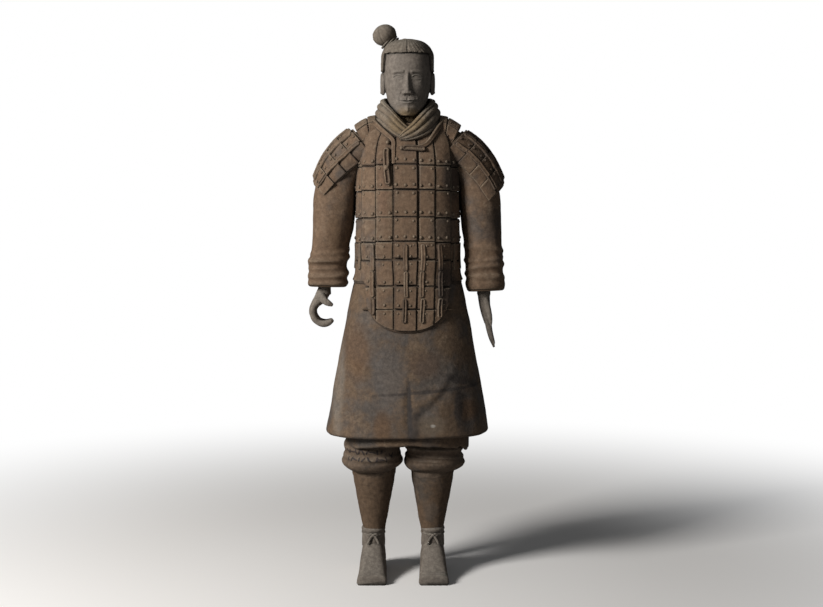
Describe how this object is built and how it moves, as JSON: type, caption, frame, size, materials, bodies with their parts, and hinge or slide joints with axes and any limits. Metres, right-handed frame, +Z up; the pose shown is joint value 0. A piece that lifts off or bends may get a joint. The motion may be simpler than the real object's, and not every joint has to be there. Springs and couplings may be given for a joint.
{
  "type": "terracotta warrior statue",
  "caption": "Life-size standing infantryman in fired clay, in plate armour over a knee-length robe, with a side topknot and one hand curled round a lost shaft.",
  "frame": {"origin": "on the ground, under the middle of the figure's bounding box", "axes": "+Z up, -Y the way the figure faces, +X towards the figure's own left hand"},
  "size_m": [0.6672, 0.388, 1.8695],
  "materials": {
    "body_clay": "dry unglazed fired clay, dusty and mottled",
    "head_clay": "dry unglazed fired clay, grey with soot",
    "hand_clay": "dry unglazed fired clay, darker than the robe"
  },
  "bodies": {
    "root": {"armoured_body": "body_clay", "head_with_topknot": "head_clay", "right_hand_gripping": "hand_clay", "left_hand_hanging": "hand_clay"}
  },
  "joints": []
}
